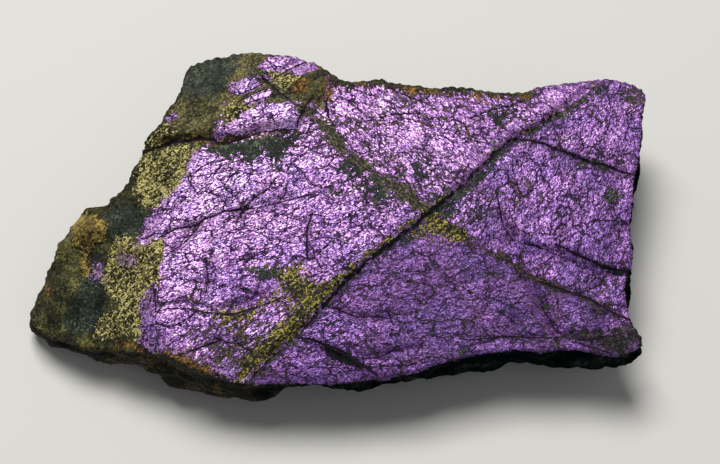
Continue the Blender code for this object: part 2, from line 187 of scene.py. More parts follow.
VEIN_RISING = [
    (-15.4, -27.9), (-12.1, -25.1), (-9.0, -22.2), (-6.3, -19.7), (-3.8, -16.7), (-1.6, -14.1),
    (0.9, -11.1), (3.4, -8.8), (6.3, -6.3), (9.2, -4.1), (11.7, -1.9), (14.3, 0.3), (16.9, 2.5),
    (19.5, 4.9), (22.2, 7.5), (24.8, 10.5), (27.5, 12.8), (30.1, 14.5), (33.1, 16.0), (36.2, 18.0),
    (39.1, 19.7), (42.5, 22.6),
]
VEIN_FALLING = [
    (-14.5, 23.8), (-10.7, 20.7), (-6.6, 17.5), (-3.7, 16.0), (-1.4, 13.4), (0.7, 10.5), (3.4, 8.2),
    (6.3, 6.1), (9.5, 3.8), (12.1, 1.6), (14.3, 0.1), (16.8, -1.9), (19.0, -3.6), (22.2, -5.5),
    (25.3, -7.1), (28.4, -8.8), (31.5, -11.2), (37.1, -13.2), (41.7, -15.7), (45.6, -17.7),
]
# Of each block, by whether it lies left of the rising vein and left of the falling one: how far its flakes
# are turned from the stone's length, in degrees, how much painted sheen lightens it from the middle tone, and
# how much warmer
BLOCKS = {
    (True, False): (24.0, 0.08, 0.05),
    (True, True): (-35.0, 0.11, 0.16),
    (False, True): (60.0, -0.02, 0.02),
    (False, False): (14.0, -0.13, 0.0),
}
# Painted sheen where the face leans to the light, painted shade where it leans away: (x, y, radius, how much)
PAINTED_LIGHT_SPOTS = [
    (-20.0, 4.0, 8.0, 0.12), (-11.0, 0.0, 7.0, 0.01), (-26.0, -8.0, 5.0, 0.06), (-25.0, -13.0, 3.0, 0.06),
    (3.0, 16.0, 7.0, 0.12), (-11.0, 15.5, 5.0, 0.34), (16.0, 13.0, 6.0, 0.06), (38.0, 14.0, 8.0, 0.01),
    (38.0, -8.0, 7.0, -0.06), (20.0, -18.0, 12.0, -0.05), (-4.0, -20.0, 6.0, 0.10),
    (-12.5, -21.5, 3.0, 0.08), (30.0, 5.0, 6.0, 0.03), (25.0, -21.5, 4.0, 0.06), (-14.0, 21.0, 4.0, 0.12),
    (-9.0, 25.5, 4.0, 0.08), (-12.0, -14.0, 6.0, -0.08), (-2.0, 8.0, 5.0, -0.02), (-4.0, -6.0, 4.0, -0.05),
]


def nearest_on(route, places):
    """The distance of each place to a route, above 0 left of it, and the share of its length there."""
    route = np.array(route, float)
    start, run = route[:-1], np.diff(route, axis=0)
    length = np.linalg.norm(run, axis=1)
    offset = places[:, None, :] - start
    share = np.clip((offset * run).sum(2) / length**2, 0.0, 1.0)
    gap = np.linalg.norm(offset - share[..., None] * run, axis=2)
    nearest = gap.argmin(1)
    row = np.arange(len(places))
    cross = run[nearest, 0] * offset[row, nearest, 1] - run[nearest, 1] * offset[row, nearest, 0]
    before = np.concatenate([[0.0], np.cumsum(length)])[nearest]
    along = (before + share[row, nearest] * length[nearest]) / length.sum()
    return np.where(cross >= 0, 1.0, -1.0) * gap[row, nearest], along


def grain(places, size, seed):
    """Smooth noise, about -1 to 1, over 3-D places, with lumps of that size in millimetres."""
    return np.array([noise.noise(place) for place in (places / size + seed * 17.3).tolist()])


def flakes(places, size, tilt, seed):
    """Height of flat flakes, each leaning its own way, as a cleaved crystal face has."""
    middle = Vector((0.5, 0.5, 0.5))
    heights = []
    for place in (places / size + seed * 7.1).tolist():
        centre = noise.voronoi(place)[1][0]
        lean = noise.cell_vector(centre * 13.7) - middle
        heights.append((Vector(place) - centre).dot(lean) * 2.0 * tilt * size)
    return np.array(heights)


rising, along_rising = nearest_on(VEIN_RISING, plan)
falling, along_falling = nearest_on(VEIN_FALLING, plan)
# The painted sheen: each block, and round spots on the face, lighter or darker in colour by how they catch
# the light
turn, painted_sheen, warmth = np.zeros(count), np.zeros(count), np.zeros(count)
for (left_of_rising, left_of_falling), (degrees, painted_lift, warmer) in BLOCKS.items():
    in_block = ((rising > 0) == left_of_rising) & ((falling > 0) == left_of_falling)
    turn[in_block] = math.radians(degrees)
    painted_sheen[in_block] = painted_lift
    warmth[in_block] = warmer
for light_x, light_y, reach, painted_lift in PAINTED_LIGHT_SPOTS:
    painted_sheen += painted_lift * np.exp(-((plan[:, 0] - light_x) ** 2 + (plan[:, 1] - light_y) ** 2) / reach**2)
known["turn"] = turn
known["painted_sheen"] = painted_sheen
known["warmth"] = warmth

on_face = touches[FACE]
upper = points[on_face]
along_flakes = np.column_stack([
    (upper[:, 0] * np.cos(turn[on_face]) + upper[:, 1] * np.sin(turn[on_face])) / STEP_STRETCH,
    upper[:, 1] * np.cos(turn[on_face]) - upper[:, 0] * np.sin(turn[on_face]),
    upper[:, 2],
])
cleaved = flakes(along_flakes, 1.9, 0.05, 1) + flakes(along_flakes, 0.9, 0.07, 2)
cleaved += 0.05 * (0.5 - np.abs(grain(along_flakes, 1.3, 3)) * 2.0)


def linear(colour):
    """A hex sRGB colour as linear red, green, blue and alpha."""
    parts = [int(colour[i : i + 2], 16) / 255 for i in (1, 3, 5)]
    return (*[p / 12.92 if p <= 0.04045 else ((p + 0.055) / 1.055) ** 2.4 for p in parts], 1.0)


def add(tree, kind, inputs, tones=(), **settings):
    """A node with its settings, its inputs set or linked, and the tones of a ramp as (place, hex colour)."""
    node = tree.nodes.new(kind)
    for name, value in settings.items():
        setattr(node, name, value)
    for name, value in inputs.items():
        if isinstance(value, bpy.types.Node):
            value = value.outputs[0]
        if isinstance(value, bpy.types.NodeSocket):
            tree.links.new(value, node.inputs[name])
        else:
            node.inputs[name].default_value = value
    for number, (place, colour) in enumerate(tones):
        stops = node.color_ramp.elements
        stop = stops.new(place) if 0 < number < len(tones) - 1 else stops[0 if number == 0 else -1]
        stop.position = place
        stop.color = linear(colour)
    return node


ore = bpy.data.materials.new("purpurite_ore")
ore.use_nodes = True
tree = ore.node_tree
tree.nodes.clear()
where = add(tree, "ShaderNodeTexCoord", {})
in_mm = add(tree, "ShaderNodeVectorMath", {0: where.outputs["Object"], "Scale": 1 / MM}, operation="SCALE")


def told(name):
    """What the mesh knows about a point, as a socket."""
    return add(tree, "ShaderNodeAttribute", {}, attribute_name=name).outputs["Fac"]


def sums(*parts):
    """The sum of (socket or number, weight) pairs."""
    total = 0.0
    for value, weight in parts:
        total = add(tree, "ShaderNodeMath", {0: value, 1: weight, 2: total}, operation="MULTIPLY_ADD")
    return total


def between(value, low, high, out_low=0.0, out_high=1.0):
    """Smoothly out_low where the value is low and out_high where it is high."""
    inputs = {"Value": value, "From Min": low, "From Max": high, "To Min": out_low, "To Max": out_high}
    return add(tree, "ShaderNodeMapRange", inputs, interpolation_type="SMOOTHSTEP")


def drawn_along(angle, stretch):
    """Places in millimetres, turned and squeezed so that a pattern over them is drawn out along an angle."""
    turned = add(
        tree, "ShaderNodeVectorRotate", {"Vector": in_mm, "Angle": angle}, rotation_type="Z_AXIS", invert=True
    )
    return add(tree, "ShaderNodeVectorMath", {0: turned, 1: (1 / stretch, 1.0, 1.0)}, operation="MULTIPLY")


def product(first, second):
    """Two sockets or numbers, multiplied."""
    return add(tree, "ShaderNodeMath", {0: first, 1: second}, operation="MULTIPLY")


# Satin purpurite: metallic flakes in three sizes, drawn out along the cleavage, with dark gaps between them.
# The smallest are finer than a picture shows, so they are drawn at 0.14 mm, about the width of one dot of it.
shake = add(tree, "ShaderNodeTexNoise", {"Vector": in_mm, "Scale": 1 / 0.8, "Detail": 2.0})
shaken = add(tree, "ShaderNodeVectorMath", {0: shake.outputs["Color"], "Scale": 0.25}, operation="SCALE")
straight = drawn_along(told("turn"), FLAKE_STRETCH)
drawn = add(tree, "ShaderNodeVectorMath", {0: straight, 1: shaken}, operation="ADD")


def flake_layer(size):
    """Flakes of one size in millimetres: a random tone for each, and the height of its leaning facet."""
    cells = add(tree, "ShaderNodeTexVoronoi", {"Vector": drawn, "Scale": 1 / size})
    middle = cells.outputs["Position"]
    inward = add(tree, "ShaderNodeVectorMath", {0: drawn, 1: middle}, operation="SUBTRACT")
    random_tilt = cells.outputs["Color"]
    lean = add(tree, "ShaderNodeVectorMath", {0: random_tilt, 1: (0.5, 0.5, 0.5)}, operation="SUBTRACT")
    height = add(tree, "ShaderNodeVectorMath", {0: inward, 1: lean}, operation="DOT_PRODUCT")
    return add(tree, "ShaderNodeSeparateColor", {"Color": cells.outputs["Color"]}), height.outputs["Value"]


def gap_net(size, width, places):
    """1 in the gaps round cells of a size and 0 inside them, both in millimetres."""
    inputs = {"Vector": places, "Scale": 1 / size}
    edge = add(tree, "ShaderNodeTexVoronoi", inputs, feature="DISTANCE_TO_EDGE")
    return between(edge, 0.0, width / size, 1.0, 0.0)


def strokes(size, width, places):
    """1 on thin wandering strokes a size apart and 0 beside them, both in millimetres."""
    swell = add(tree, "ShaderNodeTexNoise", {"Vector": places, "Scale": 1 / size, "Detail": 1.0})
    off_middle = add(tree, "ShaderNodeMath", {0: sums((swell, 1.0), (1.0, -0.5))}, operation="ABSOLUTE")
    reach = SWELL_STEEPNESS * width / size
    return between(off_middle, 0.0, reach, 1.0, 0.0)


# Each flake has its own tone, and the lightest flakes are painted glints, as if they flashed in the light
broad, medium, small = map(flake_layer, FLAKE_SIZES)
(broad_tone, broad_facet), (flake_tone, flake_facet), (fleck_tone, fleck_facet) = broad, medium, small
fleck = add(tree, "ShaderNodeTexNoise", {"Vector": drawn, "Scale": 1 / 0.2, "Detail": 2.0, "Roughness": 0.7})
wave = add(tree, "ShaderNodeTexNoise", {"Vector": drawn, "Scale": 1 / 1.6, "Detail": 2.0})
patch = add(tree, "ShaderNodeTexNoise", {"Vector": in_mm, "Scale": 1 / PATCH_SIZE, "Detail": 3.0})
wander = add(tree, "ShaderNodeVectorMath", {0: patch.outputs["Color"], "Scale": 3.0}, operation="SCALE")
bent = add(tree, "ShaderNodeVectorMath", {0: drawn, 1: wander}, operation="ADD")

# Wrinkles a few millimetres apart with painted shade on their shoulders, then three finer sets of gaps
# between the flakes
crease = product(gap_net(WRINKLE_SIZE, WRINKLE_WIDTH, bent), between(wave, 0.38, 0.52))
painted_shoulder_shade = gap_net(WRINKLE_SIZE, SHOULDER_SHADE_WIDTH, bent)
gaps = product(strokes(0.5, 0.13, drawn), between(shake, 0.35, 0.55))
broad_gaps = product(gap_net(1.3, 0.11, bent), between(shake, 0.42, 0.56))
long_gaps = product(strokes(1.8, 0.18, drawn_along(told("turn"), 4.0)), between(wave, 0.4, 0.55))
varied = sums(
    (fleck_tone, 1.1), (flake_tone, 0.05), (broad_tone, 0.08), (fleck, 0.15), (wave, 0.2), (patch, 0.3),
    (gaps, -0.06), (broad_gaps, -0.46), (long_gaps, -0.85), (crease, -1.1), (painted_shoulder_shade, -0.14), (1.0, -0.93),
)
# The painted sheen, up to a limit, also makes the flakes differ more in tone
capped_painted_sheen = add(tree, "ShaderNodeMath", {0: told("painted_sheen"), 1: 0.2}, operation="MINIMUM")
strength = sums((capped_painted_sheen, 2.4), (told("warmth"), -2.6), (1.0, 0.76))
tone = sums((told("painted_sheen"), 1.0), (1.0, 0.5), (product(varied, strength), 1.0))
cool, warm = (
    add(tree, "ShaderNodeValToRGB", {"Fac": tone}, tones=list(zip(TONE_STEPS, tones)))
    for tones in (COOL_VIOLET, WARM_VIOLET)
)
tint = add(tree, "ShaderNodeSeparateColor", {"Color": patch.outputs["Color"]})
warm_share = between(sums((tint.outputs[1], 1.0), (told("warmth"), 1.0)), 0.4, 0.6)
violet_colour = add(tree, "ShaderNodeMix", {0: warm_share, 6: cool, 7: warm}, data_type="RGBA").outputs[2]
ore_violet = {
    "colour": violet_colour,
    "roughness": between(fleck_tone, 0.1, 0.9, 0.58, 0.40),
    "metallic": 0.35,
    "specular": 0.25,
    "height": sums(
        (broad_facet, 0.05), (flake_facet, 0.06), (fleck_facet, 0.16), (fleck, 0.03), (crease, -0.08),
        (gaps, -0.03), (broad_gaps, -0.05), (long_gaps, -0.06),
    ),
}

# The fractures. Each is a gap of 0.14 to 0.37 mm where the slab has begun to part, filled with black
# manganese oxide. They fork and die out, and the rising vein, further down, opens wider than any of them.
# Each is given by its width in millimetres and its route in plan.
FRACTURES = [
    (0.23, [
        (-28.9, -4.4), (-26.2, -2.7), (-23.0, -2.0), (-21.4, -1.0), (-19.2, -0.1), (-16.1, 0.7),
        (-12.6, 1.2), (-9.7, 1.9), (-6.5, 2.7), (-3.6, 3.3),
    ]),
    (0.2, [(-26.9, -6.7), (-25.1, -5.2), (-23.6, -3.6), (-22.1, -1.4)]),
    (0.2, [(-16.6, -1.7), (-15.4, 0.9), (-13.5, 2.8), (-11.6, 4.1), (-10.4, 5.8)]),
    (0.14, [(-28.7, -11.4), (-25.2, -11.0), (-22.0, -11.7), (-18.6, -11.4)]),
    (0.14, [(-18.5, -12.4), (-15.7, -13.0), (-13.8, -13.0)]),
    (0.14, [(-18.7, -8.0), (-12.7, -8.0), (-6.4, -7.4)]),
    (0.14, [(-21.2, -7.4), (-20.8, -11.1), (-21.3, -14.6)]),
    (0.2, [
        (-29.0, -16.4), (-26.6, -15.8), (-23.5, -15.9), (-21.1, -16.6), (-17.2, -17.0), (-14.1, -16.1),
        (-11.0, -15.1), (-8.8, -14.0),
    ]),
    (0.2, [
        (-31.4, -18.4), (-28.4, -18.3), (-26.8, -18.9), (-25.2, -18.6), (-23.4, -17.3), (-21.9, -15.8),
    ]),
    (0.2, [(-19.6, -20.5), (-17.7, -21.3), (-15.6, -21.5), (-13.6, -22.9)]),
    (0.2, [(-25.4, -23.5), (-22.3, -22.6), (-19.9, -21.5), (-18.3, -21.0)]),
    (0.14, [(-29.1, -13.0), (-28.8, -17.7), (-28.5, -21.5)]),
    (0.27, [(-4.4, 0.0), (-5.2, -2.2), (-5.4, -5.0), (-5.2, -7.8)]),
    (0.17, [(-3.5, -7.2), (-1.9, -5.5), (-0.7, -3.8)]),
    (0.17, [(-1.6, -7.8), (0.3, -9.1), (2.5, -9.7)]),
    (0.14, [(-28.8, -0.6), (-27.9, 1.1), (-27.3, 2.2)]),
    (0.14, [(-21.6, 5.4), (-20.4, 6.8), (-18.5, 8.2)]),
    # Along the foot of the cap, this route and the next are partly a crack and partly painted shadow under
    # its step
    (0.37, [
        (-33.0, 9.9), (-30.8, 10.6), (-28.3, 11.5), (-27.0, 12.3), (-25.1, 12.3), (-22.8, 12.6),
        (-20.7, 12.3), (-19.9, 11.7), (-17.6, 11.8),
    ]),
    (0.2, [(-17.6, 12.0), (-15.3, 12.7), (-12.8, 13.8), (-9.9, 14.0), (-6.9, 14.0)]),
    (0.23, [(-12.9, 22.6), (-11.3, 22.5), (-9.3, 23.8), (-6.7, 25.5), (-4.8, 26.4)]),
    (0.2, [(-15.7, 19.9), (-13.5, 21.0), (-11.9, 22.4)]),
    (0.2, [(-15.4, 17.7), (-12.8, 18.9), (-9.9, 19.6), (-7.3, 20.0)]),
    (0.2, [(-7.1, 14.4), (-6.6, 15.7), (-5.7, 17.7), (-4.7, 19.0)]),
    (0.17, [(-12.9, 22.8), (-9.9, 19.9), (-7.3, 17.8), (-5.7, 16.9)]),
    (0.2, [(-1.5, 20.9), (-2.4, 19.4), (-2.1, 16.6), (-1.1, 14.8)]),
    (0.17, [(0.7, 15.5), (3.1, 15.4), (6.0, 16.3), (8.3, 17.0), (12.9, 17.1)]),
    (0.2, [(8.0, 21.6), (10.5, 20.3), (13.6, 19.1)]),
    (0.23, [(21.0, 16.2), (24.3, 17.8), (27.6, 18.4), (29.6, 19.5)]),
    (0.3, [
        (29.2, 13.2), (33.1, 12.0), (35.5, 11.0), (38.7, 9.7), (40.6, 8.8), (43.2, 8.3), (45.1, 7.5),
        (47.6, 6.7),
    ]),
    (0.23, [(25.1, 3.8), (25.5, 0.8), (26.1, -1.7), (27.3, -3.9)]),
    (0.17, [(27.3, -3.9), (29.6, -4.6), (32.6, -5.7), (35.6, -7.3), (37.6, -8.3)]),
    (0.27, [(34.2, -5.2), (37.2, -6.6), (39.6, -7.7), (42.0, -9.1), (43.9, -9.6), (46.3, -10.3)]),
    (0.2, [(42.3, -9.5), (40.9, -11.7), (39.0, -12.8), (37.0, -13.2)]),
    (0.27, [
        (31.5, -11.2), (34.6, -12.4), (37.1, -13.2), (39.6, -14.3), (42.0, -15.9), (43.8, -16.9),
        (45.6, -17.7),
    ]),
    (0.14, [(41.4, -14.8), (43.3, -15.2), (45.1, -15.5)]),
    (0.14, [(39.8, -1.3), (43.3, -1.1), (46.8, -1.7)]),
    (0.14, [(35.2, 3.0), (38.4, 3.3), (41.6, 3.6)]),
    (0.2, [(31.7, -15.3), (32.9, -17.4), (33.8, -19.1), (36.4, -21.2), (38.9, -21.8), (42.3, -23.0)]),
    (0.2, [(37.1, -20.7), (39.2, -20.9), (41.8, -20.1)]),
    (0.2, [(-2.2, -15.0), (0.0, -15.9), (2.5, -17.0), (5.6, -16.9), (7.8, -17.2)]),
    (0.14, [(-4.7, -17.5), (-1.6, -17.5)]),
    (0.3, [
        (-6.6, -20.3), (-4.7, -20.5), (-2.8, -21.3), (-0.6, -22.2), (1.6, -23.4), (3.7, -25.0),
        (5.9, -26.4),
    ]),
    (0.14, [(-5.4, -25.2), (-2.3, -25.1), (4.1, -25.2), (10.9, -24.8), (15.5, -24.0)]),
    (0.23, [(1.3, -22.1), (1.9, -23.4), (4.1, -23.8), (6.5, -23.3), (8.4, -22.4), (10.0, -22.5)]),
    (0.14, [(0.9, -19.9), (1.6, -21.2), (4.1, -22.2), (6.2, -21.4), (8.7, -21.7)]),
    (0.14, [(19.2, -12.0), (21.4, -13.7), (23.5, -15.3)]),
    (0.17, [(25.0, -16.3), (26.6, -17.3), (28.1, -18.5)]),
    (0.14, [(15.6, -20.2), (20.3, -20.8), (24.9, -20.3), (29.7, -20.3), (34.3, -20.4)]),
    (0.17, [(20.2, -22.8), (21.8, -21.4), (24.9, -20.3)]),
    (0.14, [(-9.6, -24.6), (-7.0, -24.9), (-5.2, -26.1), (-3.7, -27.0)]),
    (0.14, [(7.5, -15.4), (8.0, -17.6), (8.1, -20.6)]),
]
FRACTURE_BLACK = "#1D131E"
FAR_OFF = 9.0
TAPER = 0.18
GROOVE_DEPTH = 0.16
GROOVE_REACH = 0.3
FULL_GROOVE_WIDTH = 0.2

ore_surface = dict(ore_violet)
crack_side, crack_gap, groove = np.full(count, FAR_OFF), np.full(count, FAR_OFF), np.zeros(count)
for width, route in FRACTURES:
    side, along = nearest_on(route, plan)
    open_share = smooth_share(np.minimum(along, 1.0 - along), -0.1, TAPER)
    gap = np.abs(side) + 0.5 * width * (1.0 - open_share)
    ends = np.minimum(np.linalg.norm(plan - route[0], axis=1), np.linalg.norm(plan - route[-1], axis=1))
    gap = gap + np.where((along < 0.001) | (along > 0.999), ends, 0.0)
    scaled = gap / (0.5 * width)
    nearer = scaled < crack_gap
    crack_gap = np.where(nearer, scaled, crack_gap)
    crack_side = np.where(nearer, np.clip(side / (0.5 * width), -3.0, 3.0), crack_side)
    full_share = min(1.0, width / FULL_GROOVE_WIDTH)
    groove = np.maximum(groove, GROOVE_DEPTH * smooth_share(-gap, -GROOVE_REACH, 0.0) * full_share)
known["crack_side"] = np.clip(crack_side, -3.0, 3.0)
known["crack_gap"] = np.clip(crack_gap, 0.0, 4.0)
cleaved -= groove[on_face]


def lay(under, over, share):
    """A layer, mineral or painted shade, laid over another where its share is 1, in colour, shine and height
    alike.
    """
    # A Mix node has its two colours at inputs 6 and 7 and output 2, and its two numbers at 2, 3 and 0
    laid = {}
    for part in under:
        form, first, last = ("RGBA", 6, 2) if part == "colour" else ("FLOAT", 2, 0)
        mixed = add(
            tree, "ShaderNodeMix", {0: share, first: under[part], first + 1: over[part]}, data_type=form
        )
        laid[part] = mixed.outputs[last]
    return laid


grit = add(tree, "ShaderNodeTexNoise", {"Vector": in_mm, "Scale": 1 / 0.5, "Detail": 3.0, "Roughness": 0.6})
uneven = add(tree, "ShaderNodeMath", {0: shake, 1: 0.5}, operation="SUBTRACT")
on_line = add(
    tree, "ShaderNodeMath", {0: sums((uneven, 2.0), (told("crack_side"), 1.0))}, operation="ABSOLUTE"
)
dark_line = between(on_line, 0.7, 1.3, 1.0, 0.0)
near_line = between(told("crack_gap"), 2.2, 3.0, 1.0, 0.0)
fracture = product(product(dark_line, near_line), between(grit, 0.25, 0.42))
black_oxide = {
    "colour": linear(FRACTURE_BLACK), "roughness": 0.7, "metallic": 0.0, "specular": 0.1, "height": -0.18,
}

# The weathered patches. Purpurite alters to oxides and clay along its edges, and each mineral keeps its own
# patch: an outline in plan, whose edge the grain of the stone breaks up.

# The edge of the violet face, from the back round the left end to the front: the rind lies beyond it
RIND_EDGE = [
    (-13.0, 28.0), (-14.8, 22.9), (-17.8, 22.1), (-18.6, 18.4), (-19.2, 15.3), (-20.5, 12.7),
    (-22.1, 11.3), (-24.4, 10.5), (-24.9, 7.2), (-26.4, 4.5), (-28.9, 1.2), (-30.8, -0.3),
    (-31.8, -3.3), (-32.4, -6.1), (-30.0, -8.4), (-28.8, -11.0), (-31.2, -12.5), (-31.5, -14.0),
    (-31.4, -16.8), (-31.5, -20.9), (-28.9, -22.4), (-25.6, -23.6), (-22.0, -24.7),
    (-19.5, -26.7), (-15.5, -27.7),
]
SPECK_SIZE = 0.2
PATCH_REACH = 6.0
# Crust is olive oxide on the cap, seep is ochre run out of the veins, and the pit patches are painted shadow
# in a shallow pit and in the notch where a crack opens. Bare and islands are where violet ore shows through,
# islands more faintly, and streaks are dark seams.
PATCHES = {
    "slate": [
        [
            (-25.6, 22.0), (-25.1, 24.9), (-23.2, 26.4), (-17.2, 26.7), (-15.4, 25.3), (-15.7, 23.5),
            (-18.1, 22.9), (-18.7, 20.6), (-21.0, 19.5), (-24.2, 20.0), (-26.2, 20.1),
        ],
    ],
    "olive": [
        [
            (-26.2, 20.1), (-24.2, 20.0), (-21.0, 19.5), (-18.7, 20.6), (-18.3, 18.8), (-19.2, 16.3),
            (-20.4, 12.8), (-22.8, 12.8), (-25.7, 12.7), (-28.2, 14.2), (-27.4, 17.9),
        ],
    ],
    "ochre": [
        [
            (-32.5, 12.4), (-29.5, 13.2), (-27.9, 14.2), (-26.0, 12.9), (-27.3, 12.3), (-29.5, 11.1),
            (-32.0, 10.3),
        ],
        [
            (-32.1, 10.1), (-29.2, 11.1), (-25.7, 12.0), (-23.4, 11.2), (-24.7, 9.5), (-25.2, 6.9),
            (-26.1, 4.5), (-27.7, 2.9), (-28.9, 1.2), (-31.2, 1.4), (-32.5, 3.3), (-33.0, 5.9),
            (-32.4, 8.4),
        ],
        [
            (-35.6, -3.1), (-33.8, -4.0), (-31.8, -5.9), (-29.9, -4.4), (-28.0, -4.4), (-28.0, -8.4),
            (-28.7, -11.4), (-30.6, -12.7), (-31.7, -14.3), (-31.7, -19.4), (-34.4, -18.8),
            (-38.1, -18.5), (-39.4, -18.1), (-38.1, -15.6), (-35.1, -15.0), (-34.6, -13.3),
            (-37.0, -11.4), (-38.1, -9.5), (-37.3, -6.5),
        ],
        [
            (-18.6, 17.3), (-16.4, 18.4), (-12.8, 18.5), (-13.4, 17.1), (-15.7, 16.0), (-16.9, 14.6),
            (-18.5, 14.3),
        ],
        [
            (-12.9, 24.4), (-10.3, 24.2), (-6.4, 23.6), (-5.7, 22.0), (-7.0, 20.1), (-9.9, 19.9),
            (-10.9, 21.5), (-12.9, 22.8),
        ],
    ],
    "golden": [
        [
            (-43.3, 0.8), (-41.5, 1.9), (-39.1, 0.6), (-37.8, -1.3), (-38.0, -3.1), (-39.2, -4.4),
            (-40.5, -5.2), (-41.8, -4.2), (-42.9, -2.8),
        ],
        [(-42.0, -5.6), (-40.5, -5.7), (-39.7, -7.6), (-41.1, -8.4)],
    ],
    "rust": [
        [(-7.5, 21.7), (-5.4, 22.4), (-5.7, 20.0), (-7.3, 19.4), (-8.6, 20.1)],
        [(-2.4, 21.9), (-1.3, 22.1), (-1.5, 19.1), (-2.6, 19.8)],
        [(-35.5, -19.0), (-33.4, -19.7), (-33.4, -20.7), (-35.1, -20.2)],
        [(-32.0, -21.0), (-29.7, -21.6), (-29.4, -23.8), (-31.5, -22.6)],
        [
            (-27.7, -22.7), (-25.1, -23.1), (-23.2, -23.9), (-21.7, -24.9), (-19.3, -25.6), (-16.7, -26.3),
            (-17.2, -27.3), (-20.3, -26.6), (-23.2, -25.4), (-26.2, -24.2),
        ],
        [(-48.0, -8.5), (-46.1, -9.6), (-46.4, -10.9), (-47.9, -10.0)],
    ],
    "green": [
        [
            (-21.9, 11.1), (-19.2, 12.0), (-14.7, 12.4), (-10.7, 13.4), (-6.6, 13.9), (-5.6, 13.0),
            (-6.9, 11.9), (-8.5, 11.2), (-9.1, 9.5), (-10.3, 7.8), (-11.4, 9.0), (-12.6, 10.7),
            (-13.7, 9.3), (-14.9, 8.3), (-16.2, 9.9), (-17.5, 8.7), (-19.2, 9.8), (-20.8, 10.1),
        ],
        [(-14.2, -9.8), (-12.3, -9.5), (-8.5, -9.8), (-9.4, -11.6), (-12.3, -11.3), (-13.5, -10.8)],
        [
            (-41.1, -8.4), (-38.5, -8.9), (-37.7, -11.2), (-37.5, -14.1), (-38.5, -15.6), (-39.8, -17.1),
            (-42.5, -16.9), (-44.0, -14.9), (-43.0, -12.8), (-41.3, -10.9),
        ],
        [(38.8, 9.6), (40.2, 10.2), (41.6, 8.8), (43.4, 8.2), (42.6, 7.6), (40.8, 8.2), (39.4, 8.9)],
        [
            (-37.3, 0.5), (-35.7, 1.4), (-33.5, 1.8), (-31.1, 0.1), (-31.9, -3.0), (-34.5, -3.8),
            (-36.6, -2.3),
        ],
    ],
    "seep": [
        [
            (-9.3, -10.6), (-7.9, -8.8), (-6.4, -8.4), (-5.4, -10.1), (-4.4, -12.3), (-2.8, -14.7),
            (-3.2, -15.6), (-5.0, -17.4), (-6.5, -18.8), (-7.8, -17.6), (-7.2, -15.5), (-8.6, -13.9),
            (-9.7, -13.0),
        ],
        [
            (-21.9, -16.6), (-18.0, -15.8), (-14.9, -16.5), (-12.2, -14.6), (-9.1, -12.7), (-9.7, -14.0),
            (-12.8, -15.9), (-14.4, -17.5), (-16.9, -17.9), (-21.1, -17.6),
        ],
        [
            (11.2, -2.1), (12.7, -1.0), (14.5, 0.2), (16.1, -0.4), (17.8, -2.2), (19.4, -4.1), (17.7, -4.5),
            (15.9, -3.7), (14.0, -3.1), (12.0, -3.4),
        ],
    ],
    # Painted shadow, in a shallow pit below a crack and in the notch where a crack opens at the rim
    "painted_pit_shadow": [
        [
            (-2.9, -21.3), (0.3, -22.6), (2.2, -23.5), (3.9, -25.0), (1.9, -24.8), (-0.3, -24.1),
            (-1.9, -23.1),
        ],
        [
            (40.1, -8.0), (42.0, -8.5), (44.2, -9.1), (46.6, -9.4), (46.6, -10.9), (45.0, -10.5),
            (43.0, -9.8), (41.1, -8.9),
        ],
    ],
    "crust": [
        [
            (-15.0, 28.0), (-3.0, 27.5), (-2.0, 22.0), (-3.2, 18.0), (-6.8, 18.2), (-10.0, 17.9),
            (-13.0, 17.4), (-15.5, 16.2), (-19.0, 13.4), (-19.4, 18.0), (-18.0, 22.5),
        ],
    ],
    "bare": [
        [
            (-17.8, 21.7), (-14.8, 22.4), (-11.9, 23.3), (-11.3, 22.5), (-14.4, 20.2), (-17.0, 19.3),
            (-18.4, 20.4),
        ],
        [(-15.5, 18.4), (-13.2, 19.9), (-11.5, 20.7), (-10.7, 19.9), (-12.8, 18.5), (-15.0, 17.6)],
        [
            (-13.6, 24.3), (-12.0, 26.2), (-9.4, 26.9), (-6.2, 26.7), (-4.3, 25.7), (-6.7, 24.2),
            (-10.8, 23.9),
        ],
        [
            (-20.1, 12.9), (-17.6, 14.6), (-16.3, 15.9), (-12.8, 17.7), (-9.0, 17.8), (-6.6, 16.3),
            (-7.0, 14.5), (-9.9, 14.1), (-13.9, 13.6), (-17.1, 12.8),
        ],
        [(-8.0, 23.3), (-6.7, 24.4), (-4.4, 25.2), (-3.9, 24.5), (-6.4, 22.9)],
        [(-28.3, 15.3), (-26.7, 16.6), (-27.0, 15.6), (-27.9, 14.8)],
    ],
    "islands": [
        [(-35.1, -6.3), (-32.4, -6.6), (-32.4, -7.9), (-34.8, -7.6)],
        [(-39.5, -7.0), (-38.2, -7.1), (-38.5, -9.2), (-39.4, -8.6)],
        [(37.7, -21.1), (39.9, -21.3), (41.0, -22.3), (40.4, -22.9), (38.8, -22.8)],
        [(44.6, -22.6), (46.4, -22.0), (46.6, -23.4), (45.0, -23.6)],
    ],
    "umber": [
        [
            (35.2, -19.6), (37.4, -19.1), (39.3, -19.6), (41.5, -19.8), (43.3, -20.4), (44.8, -21.7),
            (43.2, -22.7), (41.1, -22.3), (38.9, -21.4), (36.8, -20.5),
        ],
        [
            (42.3, -19.6), (44.4, -18.3), (45.9, -17.6), (47.4, -20.3), (47.6, -23.4), (44.4, -24.5),
            (42.6, -22.9), (41.6, -21.0),
        ],
    ],
    "streaks": [
        [
            (-23.9, -20.2), (-19.6, -18.2), (-15.6, -17.2), (-11.0, -15.4), (-6.6, -14.7), (-6.9, -17.9),
            (-9.6, -21.8), (-13.9, -24.9), (-17.6, -26.4), (-20.9, -25.9), (-23.2, -23.3),
        ],
    ],
}
